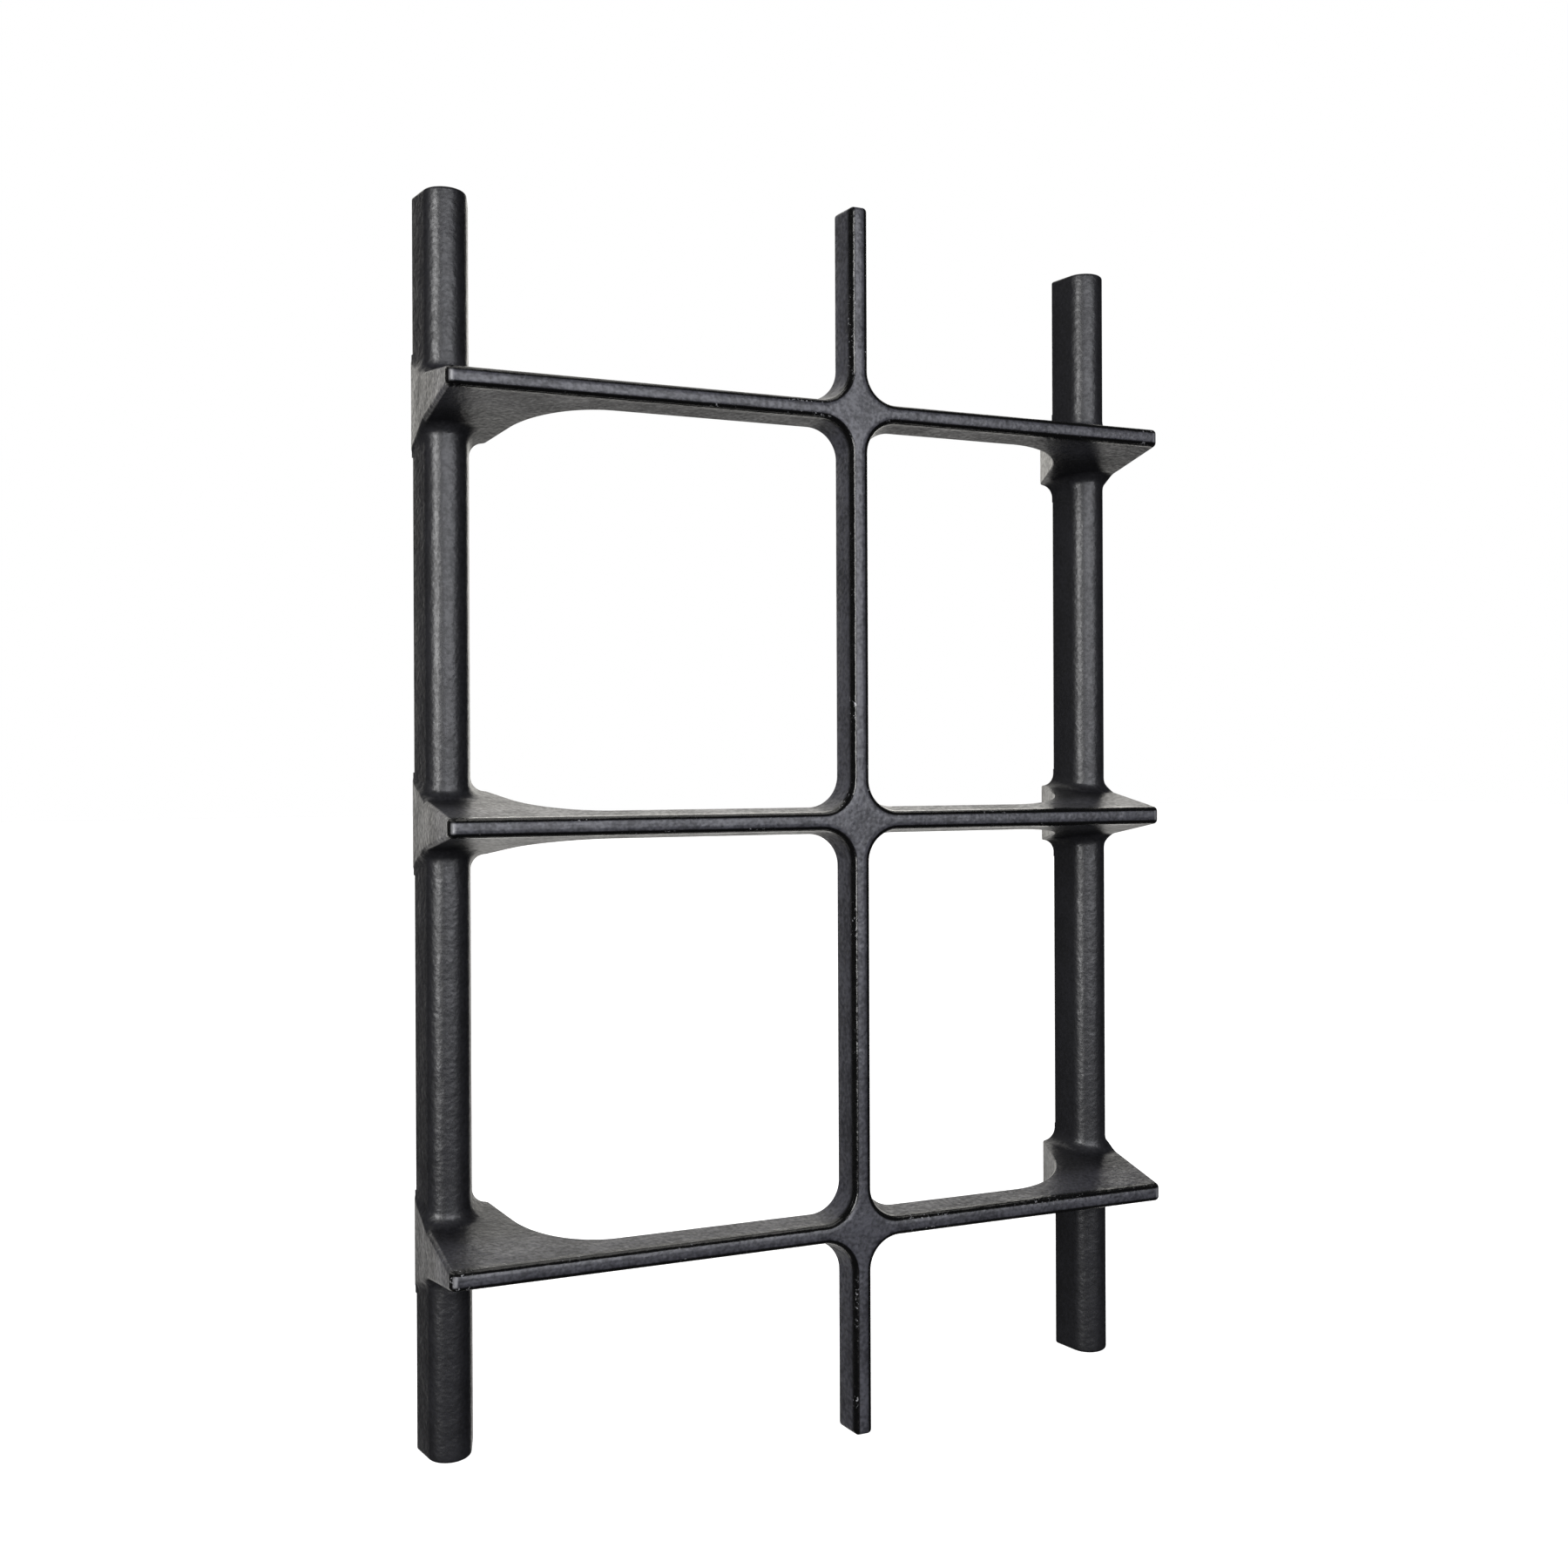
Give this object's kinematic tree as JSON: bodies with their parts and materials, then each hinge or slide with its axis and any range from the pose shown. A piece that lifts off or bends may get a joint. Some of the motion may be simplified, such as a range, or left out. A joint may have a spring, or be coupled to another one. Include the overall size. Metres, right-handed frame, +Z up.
{
  "type": "window security bar",
  "caption": "Ladder-type window security grille section: thin-edged cast rungs with star junctions, deep drafted hubs, round-nosed rails and an off-centre bar.",
  "frame": {"origin": "on the wall plane at the middle rung's height, halfway between the two columns of threaded inserts", "axes": "+X along the rungs to the right as seen from the street side, +Y from the street side into the wall, +Z up along the rails"},
  "size_m": [0.24, 0.043, 0.375],
  "materials": {
    "rung_coating": "satin black powder coat with fine orange peel over the casting",
    "rail_coating": "satin black powder coat with fine orange peel",
    "centre_bar_coating": "satin black powder coat with fine orange peel",
    "cap_coating": "satin black powder coat",
    "rod_steel": "drawn hardened steel rod",
    "fastener_zinc": "zinc plated",
    "insert_brass": "turned brass"
  },
  "bodies": {
    "root": {"centre_bar_bottom": "centre_bar_coating", "centre_bar_lower": "centre_bar_coating", "centre_bar_top": "centre_bar_coating", "centre_bar_upper": "centre_bar_coating", "centre_cap_bottom": "cap_coating", "centre_cap_top": "cap_coating", "centre_rod": "rod_steel", "end_cap_left_bottom": "cap_coating", "end_cap_left_top": "cap_coating", "end_cap_right_bottom": "cap_coating", "end_cap_right_top": "cap_coating", "insert_left_bottom": "insert_brass", "insert_left_middle": "insert_brass", "insert_left_top": "insert_brass", "insert_right_bottom": "insert_brass", "insert_right_middle": "insert_brass", "insert_right_top": "insert_brass", "nut_left_bottom": "fastener_zinc", "nut_left_top": "fastener_zinc", "nut_right_bottom": "fastener_zinc", "nut_right_top": "fastener_zinc", "rail_left_bottom": "rail_coating", "rail_left_lower": "rail_coating", "rail_left_top": "rail_coating", "rail_left_upper": "rail_coating", "rail_right_bottom": "rail_coating", "rail_right_lower": "rail_coating", "rail_right_top": "rail_coating", "rail_right_upper": "rail_coating", "rung_bottom": "rung_coating", "rung_middle": "rung_coating", "rung_top": "rung_coating", "tie_rod_left": "rod_steel", "tie_rod_right": "rod_steel", "washer_left_bottom": "fastener_zinc", "washer_left_top": "fastener_zinc", "washer_right_bottom": "fastener_zinc", "washer_right_top": "fastener_zinc"}
  },
  "joints": []
}
